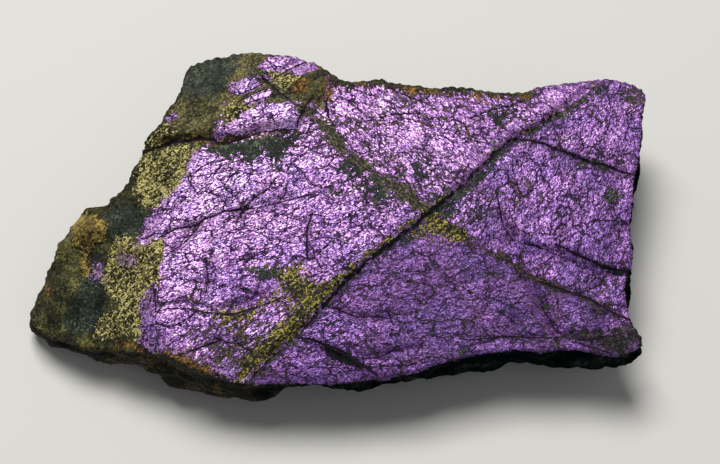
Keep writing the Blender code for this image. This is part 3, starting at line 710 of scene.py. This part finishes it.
# Spots of dark green oxide on the violet face: (x, y, radius, how much)
MOTTLE = [
    (1.5, 7.4, 3.6, 0.8), (6.6, 3.9, 4.4, 0.86), (12.8, 7.0, 3.8, 0.72), (15.9, 0.9, 4.4, 0.84),
    (21.3, 0.3, 4.1, 0.6), (-0.9, 3.8, 2.0, 0.7), (25.9, 16.4, 3.3, 0.82), (29.2, 17.7, 1.6, 0.6),
    (43.6, 3.1, 2.3, 0.78), (42.5, 21.5, 1.6, 0.7), (46.5, 20.6, 1.6, 0.7), (-0.1, -3.9, 2.0, 0.5),
    (1.5, -8.1, 2.0, 0.4), (13.4, -8.5, 2.4, 0.4), (23.2, -10.5, 1.3, 0.6), (32.6, -15.1, 1.3, 0.8),
    (25.8, -15.7, 1.6, 0.3), (40.5, -21.1, 3.6, 0.8), (45.5, -20.1, 2.0, 0.8), (36.7, -18.5, 1.6, 0.4),
    (-17.2, -18.2, 3.6, 0.6), (-21.9, -17.1, 2.0, 0.5), (-12.2, -16.3, 2.3, 0.5), (-21.7, 2.9, 2.3, 0.3),
    (-21.1, -7.7, 1.5, 0.5), (8.1, -17.6, 1.0, 0.5), (18.7, -22.7, 1.5, 0.8), (40.3, 10.1, 1.3, 0.6),
    (-5.8, 17.4, 2.6, 0.8), (-14.9, 24.6, 1.5, 0.8), (-3.1, 17.3, 2.0, 0.6), (4.7, 9.8, 1.6, 0.5),
    (-9.8, 7.6, 1.3, 0.6),
]
MOTTLE_STEEPNESS = 1.2
# Where clay film has crept in between the flakes: (x, y, radius, how thick)
FILMS = [
    (-0.1, 14.0, 5.0, 0.55), (9.6, 17.7, 6.0, 0.6), (19.4, 17.6, 5.0, 0.62), (29.2, 17.7, 4.0, 0.55),
    (4.7, 5.4, 4.5, 0.75), (12.8, 5.5, 5.0, 0.75), (22.3, 2.3, 4.0, 0.45), (15.9, -0.9, 4.0, 0.7),
    (40.0, -14.0, 6.0, 0.3), (32.0, -18.0, 6.0, 0.25), (-17.0, -22.0, 5.0, 0.45), (-30.0, -14.0, 2.5, 0.4),
    (-12.0, 24.0, 4.0, 0.3), (25.8, 12.0, 4.0, 0.4), (47.5, 20.2, 2.4, 0.9), (6.0, 10.0, 5.0, 0.5),
    (42.5, 20.5, 2.0, 0.5), (18.0, 9.0, 4.0, 0.3), (36.0, 12.5, 3.0, 0.4), (30.0, 4.0, 3.0, 0.3),
]
FILM_STEEPNESS = 1.0
# The foot of the cap, where a thin seam of rust has seeped out
CAP_FOOT = [
    (-28.8, 11.8), (-26.0, 12.9), (-22.8, 12.4), (-20.3, 11.8), (-17.1, 12.5), (-13.9, 13.3), (-9.9, 13.9),
    (-6.3, 13.5),
]
# The back rim that has rusted: its half width, from where and to where along the stone, and how far back
BACK_RIM_HALF = 1.2
BACK_RIM_LEFT, BACK_RIM_RIGHT, BACK_RIM_FRONT = -4.0, 32.0, 14.0


def inside(outline, places):
    """Distance to a closed outline in millimetres, above 0 inside it."""
    ring = np.array(outline + outline[:1], float)
    found = np.zeros(len(places), bool)
    for (x0, y0), (x1, y1) in zip(ring[:-1], ring[1:]):
        if y0 == y1:
            continue
        crosses = (y0 > places[:, 1]) != (y1 > places[:, 1])
        found ^= crosses & (places[:, 0] < x0 + (places[:, 1] - y0) * (x1 - x0) / (y1 - y0))
    return np.where(found, 1.0, -1.0) * np.abs(nearest_on(ring, places)[0])


def patches(name):
    """Distance into the nearest patch of a mineral, above 0 inside it and never past the patch reach."""
    into = [inside(outline, plan) for outline in PATCHES[name]]
    return np.clip(np.max(into, axis=0), -PATCH_REACH, PATCH_REACH)


def spotted(spots, steepness):
    """The most that any of the round spots lays on each point, fading outward from its middle."""
    most = np.zeros(count)
    for spot_x, spot_y, radius, amount in spots:
        apart = ((plan[:, 0] - spot_x) ** 2 + (plan[:, 1] - spot_y) ** 2) / radius**2
        most = np.maximum(most, amount * np.exp(-steepness * apart))
    return most


known["rind"] = np.clip(-nearest_on(RIND_EDGE, plan)[0], -PATCH_REACH, PATCH_REACH)
for name in PATCHES:
    known[name] = patches(name)
known["mottle"] = spotted(MOTTLE, MOTTLE_STEEPNESS)
known["film"] = spotted(FILMS, FILM_STEEPNESS)
known["leftward"] = -plan[:, 0]
known["cap_foot"] = np.clip(0.3 - np.abs(nearest_on(CAP_FOOT, plan)[0]), -3.0, 3.0)
back_rim = np.minimum.reduce([
    BACK_RIM_HALF - np.abs(rim), plan[:, 0] - BACK_RIM_LEFT,
    BACK_RIM_RIGHT - plan[:, 0], plan[:, 1] - BACK_RIM_FRONT,
])
known["back_rim"] = np.clip(back_rim, -PATCH_REACH, PATCH_REACH)

coarse = add(tree, "ShaderNodeTexNoise", {"Vector": in_mm, "Scale": 1 / 3.5, "Detail": 4.0})
specks = add(tree, "ShaderNodeTexVoronoi", {"Vector": in_mm, "Scale": 1 / SPECK_SIZE})
speck = add(tree, "ShaderNodeSeparateColor", {"Color": specks.outputs["Color"]})
ragged = sums((uneven, 2.2), (coarse, 1.6), (grit, 1.4), (speck, 0.8), (1.0, -1.9))


def where_told(name, softness=0.12, grown=0.0, raggedness=1.0):
    """1 inside the patches of a mineral and 0 outside, with an edge broken up by the grain."""
    return between(sums((told(name), 1.0), (ragged, raggedness), (1.0, grown)), -softness, softness)


MINERAL_STEPS = (0.22, 0.42, 0.60, 0.82)


def dull_layer(tones, of, roughness, bumps, specular=0.12):
    """A dull mineral or painted shade: its tones, dark to light, over the parts it is made of, its shine and
    bumps.
    """
    steps = list(zip(MINERAL_STEPS, tones))
    colour = add(tree, "ShaderNodeValToRGB", {"Fac": sums(*of)}, tones=steps)
    height = sums(*bumps)
    return {"colour": colour, "roughness": roughness, "metallic": 0.0, "specular": specular, "height": height}


# Films of clay and oxide that have crept in between the flakes: a dull olive brown, in a web
ridge_inputs = {"Vector": in_mm, "Scale": 1 / 2.5, "Detail": 4.0, "Roughness": 0.65}
ridges = add(tree, "ShaderNodeTexNoise", ridge_inputs)
off_ridge = add(tree, "ShaderNodeMath", {0: sums((ridges, 1.0), (1.0, -0.5))}, operation="ABSOLUTE")
web = between(off_ridge, 0.01, 0.05, 1.0, 0.0)
clay_film = dull_layer(
    ("#171314", "#332B29", "#554A42", "#80745A"), ((speck, 0.5), (grit, 0.6), (coarse, 0.2), (1.0, -0.15)),
    0.6, ((grit, 0.2), (speck, 0.05)),
)
film_parts = (
    (told("film"), 1.3), (web, 1.0), (crease, 0.5), (speck, 0.2), (coarse, 0.8), (grit, 0.6), (1.0, -2.0),
)
film_share = between(sums(*film_parts), 0.0, 0.25)
ore_surface = lay(ore_surface, clay_film, film_share)

# Green manganese oxide: nearly black in its hollows, with pale olive points, in spots and patches
green_oxide = dull_layer(
    ("#0A0F0D", "#19211C", "#303A30", "#7A8064"), ((speck, 0.35), (grit, 0.8), (coarse, 0.6), (1.0, -0.42)),
    0.55, ((grit, 0.25), (speck, 0.08)),
)
mottle_parts = ((told("mottle"), 1.35), (web, 0.4), (speck, 0.3), (uneven, 1.2), (grit, 0.9), (1.0, -1.42))
ore_surface = lay(ore_surface, green_oxide, between(sums(*mottle_parts), 0.0, 0.2))

# The rind, iron oxide that has eaten into the ore: crumbly, dark olive brown with khaki points
brown_rind = dull_layer(
    ("#0E100B", "#282A1A", "#4A492A", "#867F44"), ((speck, 0.35), (grit, 0.8), (coarse, 1.0), (1.0, -0.62)),
    0.55, ((grit, 0.3), (speck, 0.1)),
)
ore_surface = lay(ore_surface, brown_rind, where_told("rind"))

# Olive and slate oxide, mostly on the cap: dull and finely streaked across it, at an angle in degrees
CAP_GRAIN = 43.0
cap_grain = drawn_along(math.radians(CAP_GRAIN), 6.0)
streaked = add(tree, "ShaderNodeTexNoise", {"Vector": cap_grain, "Scale": 1 / 0.5, "Detail": 3.0})
olive = dull_layer(
    ("#16170F", "#3A3823", "#605A38", "#928957"),
    ((streaked, 0.7), (speck, 0.4), (grit, 0.7), (coarse, 0.7), (1.0, -0.75)),
    0.6, ((grit, 0.25), (speck, 0.08)),
)
slate = dull_layer(
    ("#10160F", "#202820", "#3A4033", "#686A54"),
    ((streaked, 0.8), (speck, 0.35), (grit, 0.6), (coarse, 0.6), (1.0, -0.72)),
    0.5, ((grit, 0.12), (speck, 0.04)),
)
ore_surface = lay(ore_surface, olive, where_told("olive"))
ore_surface = lay(ore_surface, slate, where_told("slate", 1.6, 0.6))
ore_surface = lay(ore_surface, green_oxide, where_told("green", grown=0.1, raggedness=1.5))
ore_surface = lay(ore_surface, olive, where_told("crust"))

# Ochre, rust and golden limonite: rough granules in a dark ground, pale or orange on their crowns
grained = drawn_along(math.radians(48.0), 1.9)
granules = add(tree, "ShaderNodeTexVoronoi", {"Vector": grained, "Scale": 1 / 0.38})
granule = add(tree, "ShaderNodeSeparateColor", {"Color": granules.outputs["Color"]})
ochre = dull_layer(
    ("#13150F", "#433F26", "#807746", "#CFC581"),
    ((granule, 0.45), (speck, 0.75), (grit, 0.9), (coarse, 0.9), (1.0, -1.02)),
    0.55, ((grit, 0.3), (granules.outputs["Distance"], -0.35), (speck, 0.08)),
)
ore_surface = lay(ore_surface, ochre, where_told("ochre"))
rust = dull_layer(
    ("#100F0A", "#2E2317", "#5C4323", "#A37C3A"),
    ((granule, 0.35), (speck, 0.3), (grit, 0.8), (coarse, 1.2), (1.0, -0.9)),
    0.55, ((grit, 0.35), (granules.outputs["Distance"], -0.25)),
)
ore_surface = lay(ore_surface, rust, where_told("rust"))
golden = dull_layer(
    ("#1E1C10", "#4A4020", "#796830", "#B29A50"),
    ((granule, 0.35), (speck, 0.3), (grit, 0.8), (coarse, 1.0), (1.0, -0.62)),
    0.5, ((grit, 0.35), (granules.outputs["Distance"], -0.3)),
)
ore_surface = lay(ore_surface, golden, where_told("golden"))
rusty = between(sums((coarse, 1.0), (told("rim"), 0.2)), 0.6, 0.72)
ore_surface = lay(ore_surface, lay(brown_rind, rust, rusty), where_told("back_rim", raggedness=1.3))

# Umber, at the front of the square end: near black, greyed violet where the ore shows through
umber = dull_layer(
    ("#050706", "#0F120F", "#262124", "#614D5F"), ((speck, 0.45), (grit, 1.3), (coarse, 0.9), (1.0, -0.86)),
    0.55, ((grit, 0.3), (speck, 0.1)),
)
ore_surface = lay(ore_surface, umber, where_told("umber", grown=0.1, raggedness=1.2))
rusty_foot = lay(brown_rind, rust, between(grit, 0.4, 0.6))
ore_surface = lay(ore_surface, rusty_foot, where_told("cap_foot", raggedness=0.5))
ore_surface = lay(ore_surface, ore_violet, where_told("bare", grown=0.1, raggedness=0.45))
ore_surface = lay(ore_surface, ore_violet, product(where_told("islands", grown=0.1, raggedness=1.5), 0.6))

# Painted shadow in a shallow pit and in a notch, and dark olive seams in streaks over the lower left of the
# face
painted_pit_shadow = dull_layer(
    ("#06080B", "#0B0C12", "#131218", "#29242E"), ((speck, 0.4), (grit, 1.0), (1.0, -0.3)),
    0.7, ((grit, 0.3),), 0.1,
)
ore_surface = lay(ore_surface, painted_pit_shadow, where_told("painted_pit_shadow", raggedness=0.5))
seam_grain = drawn_along(math.radians(CAP_GRAIN), 7.0)
seams = add(tree, "ShaderNodeTexNoise", {"Vector": seam_grain, "Scale": 1 / 0.4, "Detail": 3.0})
dark_olive = dull_layer(
    ("#0F100C", "#241F18", "#423B26", "#7A7040"), ((seams, 1.0), (speck, 0.4), (grit, 0.6), (1.0, -0.56)),
    0.6, ((grit, 0.25), (speck, 0.08)),
)
seam_share = between(sums((seams, 3.4), (coarse, 1.6), (speck, 0.3), (grit, 0.5), (1.0, -3.05)), 0.0, 0.15)
ore_surface = lay(ore_surface, dark_olive, product(seam_share, between(told("streaks"), -1.0, 0.5)))

# The two long veins. The rising one is an open seam of black and green oxide with an ochre filling beside it,
# and the falling one a band of fibres that the slab was sheared along before it broke.
# Each width in millimetres is given at shares of the vein's length.
VEIN_AT = (0.0, 0.12, 0.35, 0.5, 0.62, 0.8, 1.0)
OCHRE_AT = (0.0, 0.05, 0.14, 0.24, 0.32, 0.47, 0.53, 1.0)
GREEN_AT = (0.0, 0.15, 0.4, 0.5, 0.65, 0.8, 1.0)
ROPE_AT = (0.0, 0.2, 0.45, 0.6, 0.8, 1.0)
SIDE_OVERLAP = 0.1
vein_width = np.interp(along_rising, VEIN_AT, (0.2, 0.18, 0.28, 0.25, 0.2, 0.15, 0.12))
known["vein"] = np.clip(vein_width - np.abs(rising), -3.0, 3.0)
ochre_width = np.interp(along_rising, OCHRE_AT, (1.4, 2.4, 2.8, 2.6, 1.0, 0.7, 0.0, 0.0))
ochre_place = rising - vein_width
known["vein_ochre"] = np.clip(np.minimum(ochre_place + SIDE_OVERLAP, ochre_width - ochre_place), -3.0, 3.0)
green_width = np.interp(along_rising, GREEN_AT, (0.4, 0.5, 0.6, 1.6, 1.4, 0.9, 0.7))
green_place = -rising - vein_width
known["vein_green"] = np.clip(np.minimum(green_place + SIDE_OVERLAP, green_width - green_place), -3.0, 3.0)
rope_width = np.interp(along_falling, ROPE_AT, (0.9, 1.2, 1.4, 1.1, 0.7, 0.2))
known["rope"] = np.clip(rope_width - np.abs(falling), -3.0, 3.0)
known["along_rope"] = along_falling

# The fibres of the falling vein: dull threads along it, olive at its upper end and brown at its lower
fibre_grain = drawn_along(math.radians(-40.0), 5.0)
fibre = add(tree, "ShaderNodeTexNoise", {"Vector": fibre_grain, "Scale": 1 / 0.28, "Detail": 3.0})
fibre_parts = ((fibre, 1.1), (speck, 0.4), (grit, 0.4), (1.0, -0.45))
fibre_bumps = ((fibre, 0.35), (speck, 0.08))
olive_rope = dull_layer(("#10120E", "#2A2A23", "#494637", "#827C5C"), fibre_parts, 0.55, fibre_bumps)
brown_rope = dull_layer(("#100C0E", "#221A1B", "#392D2A", "#6A584D"), fibre_parts, 0.55, fibre_bumps)
rope = lay(olive_rope, brown_rope, between(told("along_rope"), 0.42, 0.6))
rope_parts = ((told("rope"), 0.8), (uneven, 2.0), (coarse, 2.4), (fibre, 2.4), (web, 0.3), (1.0, -2.78))
ore_surface = lay(ore_surface, rope, between(sums(*rope_parts), -0.05, 0.15))

# The rising vein: green oxide on one side, streaky yellow ochre on the other, and a black seam between them
ore_surface = lay(ore_surface, green_oxide, where_told("vein_green", grown=-0.1, raggedness=1.3))
streaky_ochre = dull_layer(
    ("#0E100B", "#2C2818", "#5D542B", "#B5A94E"),
    ((streaked, 1.0), (granule, 0.3), (speck, 0.7), (grit, 0.7), (1.0, -0.94)),
    0.55, ((streaked, 0.3), (grit, 0.2), (speck, 0.08)),
)
ore_surface = lay(ore_surface, streaky_ochre, where_told("vein_ochre", grown=-0.1))
ore_surface = lay(ore_surface, streaky_ochre, where_told("seep", grown=-0.1, raggedness=2.2))
vein_black = {"colour": linear("#10140F"), "roughness": 0.5, "metallic": 0.0, "specular": 0.2, "height": -0.2}
vein_share = between(sums((told("vein"), 1.0), (uneven, 0.9), (speck, 0.15), (1.0, -0.08)), -0.04, 0.08)
ore_surface = lay(ore_surface, vein_black, vein_share)
ore_surface = lay(ore_surface, black_oxide, fracture)

# The broken sides and the underside. The block parted across the cleavage here, so its beds show as ledges,
# and all of it is coated with dark oxide, olive brown on the left; near black on the right, under the lip,
# where painted shade darkens that oxide further.
BED_SCALE = (0.25, 0.25, 1.6)
BLACK_UNTIL, BROWN_FROM = 6.0, 22.0
bedded = add(tree, "ShaderNodeVectorMath", {0: in_mm, 1: BED_SCALE}, operation="MULTIPLY")
beds = add(tree, "ShaderNodeTexNoise", {"Vector": bedded, "Scale": 1.0, "Detail": 3.0})
side_parts = ((beds, 0.6), (speck, 0.3), (grit, 0.8), (coarse, 1.1), (1.0, -0.92))
side_bumps = ((grit, 0.3), (beds, 0.5))
# Near black: dark oxide with painted shade laid in, as under the overhanging lip on the right
black_side_painted_shade = dull_layer(("#03070A", "#081012", "#141A18", "#34352A"), side_parts, 0.8, side_bumps, 0.0)
brown_side = dull_layer(("#070A09", "#141612", "#2C281B", "#6E5630"), side_parts, 0.7, side_bumps, 0.1)
side_oxide_and_painted_shade = lay(black_side_painted_shade, brown_side, between(told("leftward"), BLACK_UNTIL, BROWN_FROM))
down_side = between(sums((told("rim"), -1.0), (ragged, 0.35), (1.0, -0.15)), -0.15, 0.15)
ore_surface = lay(ore_surface, side_oxide_and_painted_shade, down_side)

# How far each point stands proud, in millimetres: low steps of flakes on the face, crumbs on the rind, ledges
# down the sides and hollows in the underside. Each sum adds noise of a few grain sizes.
into_rind = smooth_share(known["rind"][on_face], -0.4, 0.8)
crumbly = 0.5 * grain(upper, 2.6, 5) + 0.35 * np.abs(grain(upper, 1.2, 6)) + 0.2 * grain(upper, 0.7, 7)
relief[on_face] = cleaved * (1.0 - into_rind) + crumbly * into_rind
on_side = touches[SIDE] & ~touches[FACE]
flat_beds = points[on_side] * (1.0, 1.0, 3.0)
ledges = 0.5 * grain(flat_beds, 4.0, 8) + 0.3 * grain(flat_beds, 1.8, 9)
relief[on_side] = ledges + 0.2 * grain(points[on_side], 0.9, 10)
under = touches[REST] & ~touches[SIDE]
hollows = np.maximum(0.0, grain(points[under], 6.0, 11) + 0.5 * grain(points[under], 2.2, 12))
relief[under] = -0.6 * hollows
relief[touches[REST] & touches[SIDE]] = 0.0

# The stone as one piece: one lump of ore with all its minerals grown together, so one mesh and one material.
# Its surface takes the relief, is told what lies where, and stands in place of the plain solid.
points = points + normals * relief[:, None]
points[:, 2] = np.maximum(points[:, 2], 0.0)
surface.vertices.foreach_set("co", (points * MM).ravel())
for name, values in known.items():
    surface.attributes.new(name, "FLOAT", "POINT").data.foreach_set("value", values.astype(np.float32))
surface.shade_smooth()
bump_inputs = {"Height": ore_surface["height"], "Distance": MM, "Strength": BUMP_STRENGTH}
bumps = add(tree, "ShaderNodeBump", bump_inputs)
skin = add(
    tree, "ShaderNodeBsdfPrincipled",
    {
        "Base Color": ore_surface["colour"], "Roughness": ore_surface["roughness"],
        "Metallic": ore_surface["metallic"], "Normal": bumps, "IOR": 1.6,
        "Specular IOR Level": ore_surface["specular"],
    },
)
add(tree, "ShaderNodeOutputMaterial", {"Surface": skin})
surface.materials.clear()
surface.materials.append(ore)
stone = bpy.data.objects.new("purpurite_ore_stone", surface)
bpy.context.scene.collection.objects.link(stone)
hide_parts("purpurite_stone")
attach(stone, "root")

# The studio: a plain pale matt board under the stone, a soft light above it and a little behind on the left,
# a weak cool fill from the front on the right, and a camera 62 degrees above the horizon
FLOOR_WHITE = "#D5D5D1"
FLOOR_SIZE = 1.6
board = bpy.data.materials.new("matt_white_board")
board.use_nodes = True
paint = board.node_tree.nodes["Principled BSDF"]
paint.inputs["Base Color"].default_value = linear(FLOOR_WHITE)
paint.inputs["Roughness"].default_value = 0.85
floor_mesh = bpy.data.meshes.new("pale_floor")
half = FLOOR_SIZE / 2
board_corners = [(-half, -half, 0), (half, -half, 0), (half, half, 0), (-half, half, 0)]
floor_mesh.from_pydata(board_corners, [], [(0, 1, 2, 3)])
floor_mesh.materials.append(board)
floor = bpy.data.objects.new("pale_floor", floor_mesh)
bpy.context.scene.collection.objects.link(floor)

AIM = Vector((3.25, 0.3, 12.0)) * MM
# Of each light: its place in metres, its size, its power and its colour
LIGHTS = {
    "window_light": ((-0.08, 0.15, 0.58), 0.26, 3.6, "#FFFDFA"),
    "fill_light": ((0.25, -0.45, 0.7), 0.6, 0.5, "#F4F6FF"),
}
for name, (place, size, power, colour) in LIGHTS.items():
    light = bpy.data.lights.new(name, "AREA")
    light.size = size
    light.energy = power
    light.color = linear(colour)[:3]
    lamp = bpy.data.objects.new(name, light)
    lamp.location = place
    lamp.rotation_euler = (AIM - Vector(place)).to_track_quat("-Z", "Y").to_euler()
    bpy.context.scene.collection.objects.link(lamp)
world = bpy.data.worlds.new("studio_air")
world.use_nodes = True
world.node_tree.nodes["Background"].inputs["Color"].default_value = linear("#F6F6F8")
world.node_tree.nodes["Background"].inputs["Strength"].default_value = 0.16
bpy.context.scene.world = world
bpy.context.scene.view_settings.view_transform = "Standard"

VIEW_ELEVATION = math.radians(62.0)
VIEW_DISTANCE = 293 * MM
camera = bpy.data.cameras.new("camera")
camera.lens = 90.0
camera.sensor_width = 36.0
camera.clip_start = 0.01
eye = bpy.data.objects.new("camera", camera)
eye.location = AIM + VIEW_DISTANCE * Vector((0.0, -math.cos(VIEW_ELEVATION), math.sin(VIEW_ELEVATION)))
eye.rotation_euler = (math.pi / 2 - VIEW_ELEVATION, 0.0, 0.0)
bpy.context.scene.collection.objects.link(eye)
bpy.context.scene.camera = eye
